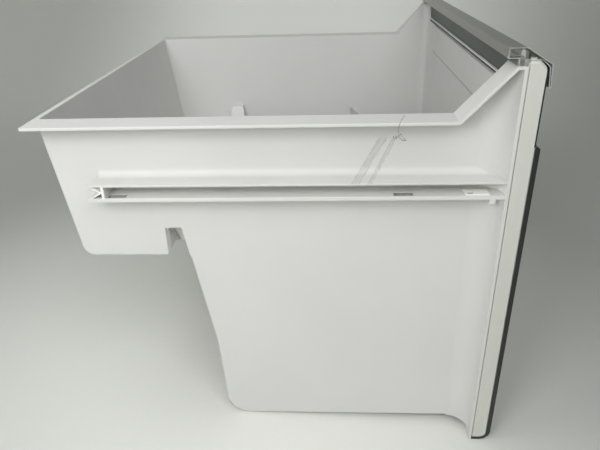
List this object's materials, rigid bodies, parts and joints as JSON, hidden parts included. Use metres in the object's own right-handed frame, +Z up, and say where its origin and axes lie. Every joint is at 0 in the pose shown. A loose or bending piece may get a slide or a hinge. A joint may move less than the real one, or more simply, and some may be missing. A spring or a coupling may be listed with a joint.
{
  "type": "refrigerator drawer",
  "caption": "Deep stepped refrigerator drawer: white moulded tub with side rail channels, raised wings, and a flat dark front with a grip recess under a satin handle trim.",
  "frame": {"origin": "centre of the drawer's footprint, at the level of the front's lowest edge", "axes": "+X across the drawer to the right of a person facing its front, -Y out of the front, +Z up"},
  "size_m": [0.46, 0.4144, 0.3955],
  "materials": {
    "tub_white": "satin white moulding",
    "frame_white": "satin white moulding",
    "decor_dark": "glossy dark decor sheet",
    "liner_grey": "fine matt dark grey",
    "trim_satin": "satin brushed along its length",
    "cap_clear": "clear glossy plastic"
  },
  "bodies": {
    "root": {"tub": "tub_white", "front_frame": "frame_white", "front_sheet": "decor_dark", "grip_liner": "liner_grey", "handle_trim": "trim_satin", "trim_end_cap_left": "cap_clear", "trim_end_cap_right": "cap_clear"}
  },
  "joints": []
}
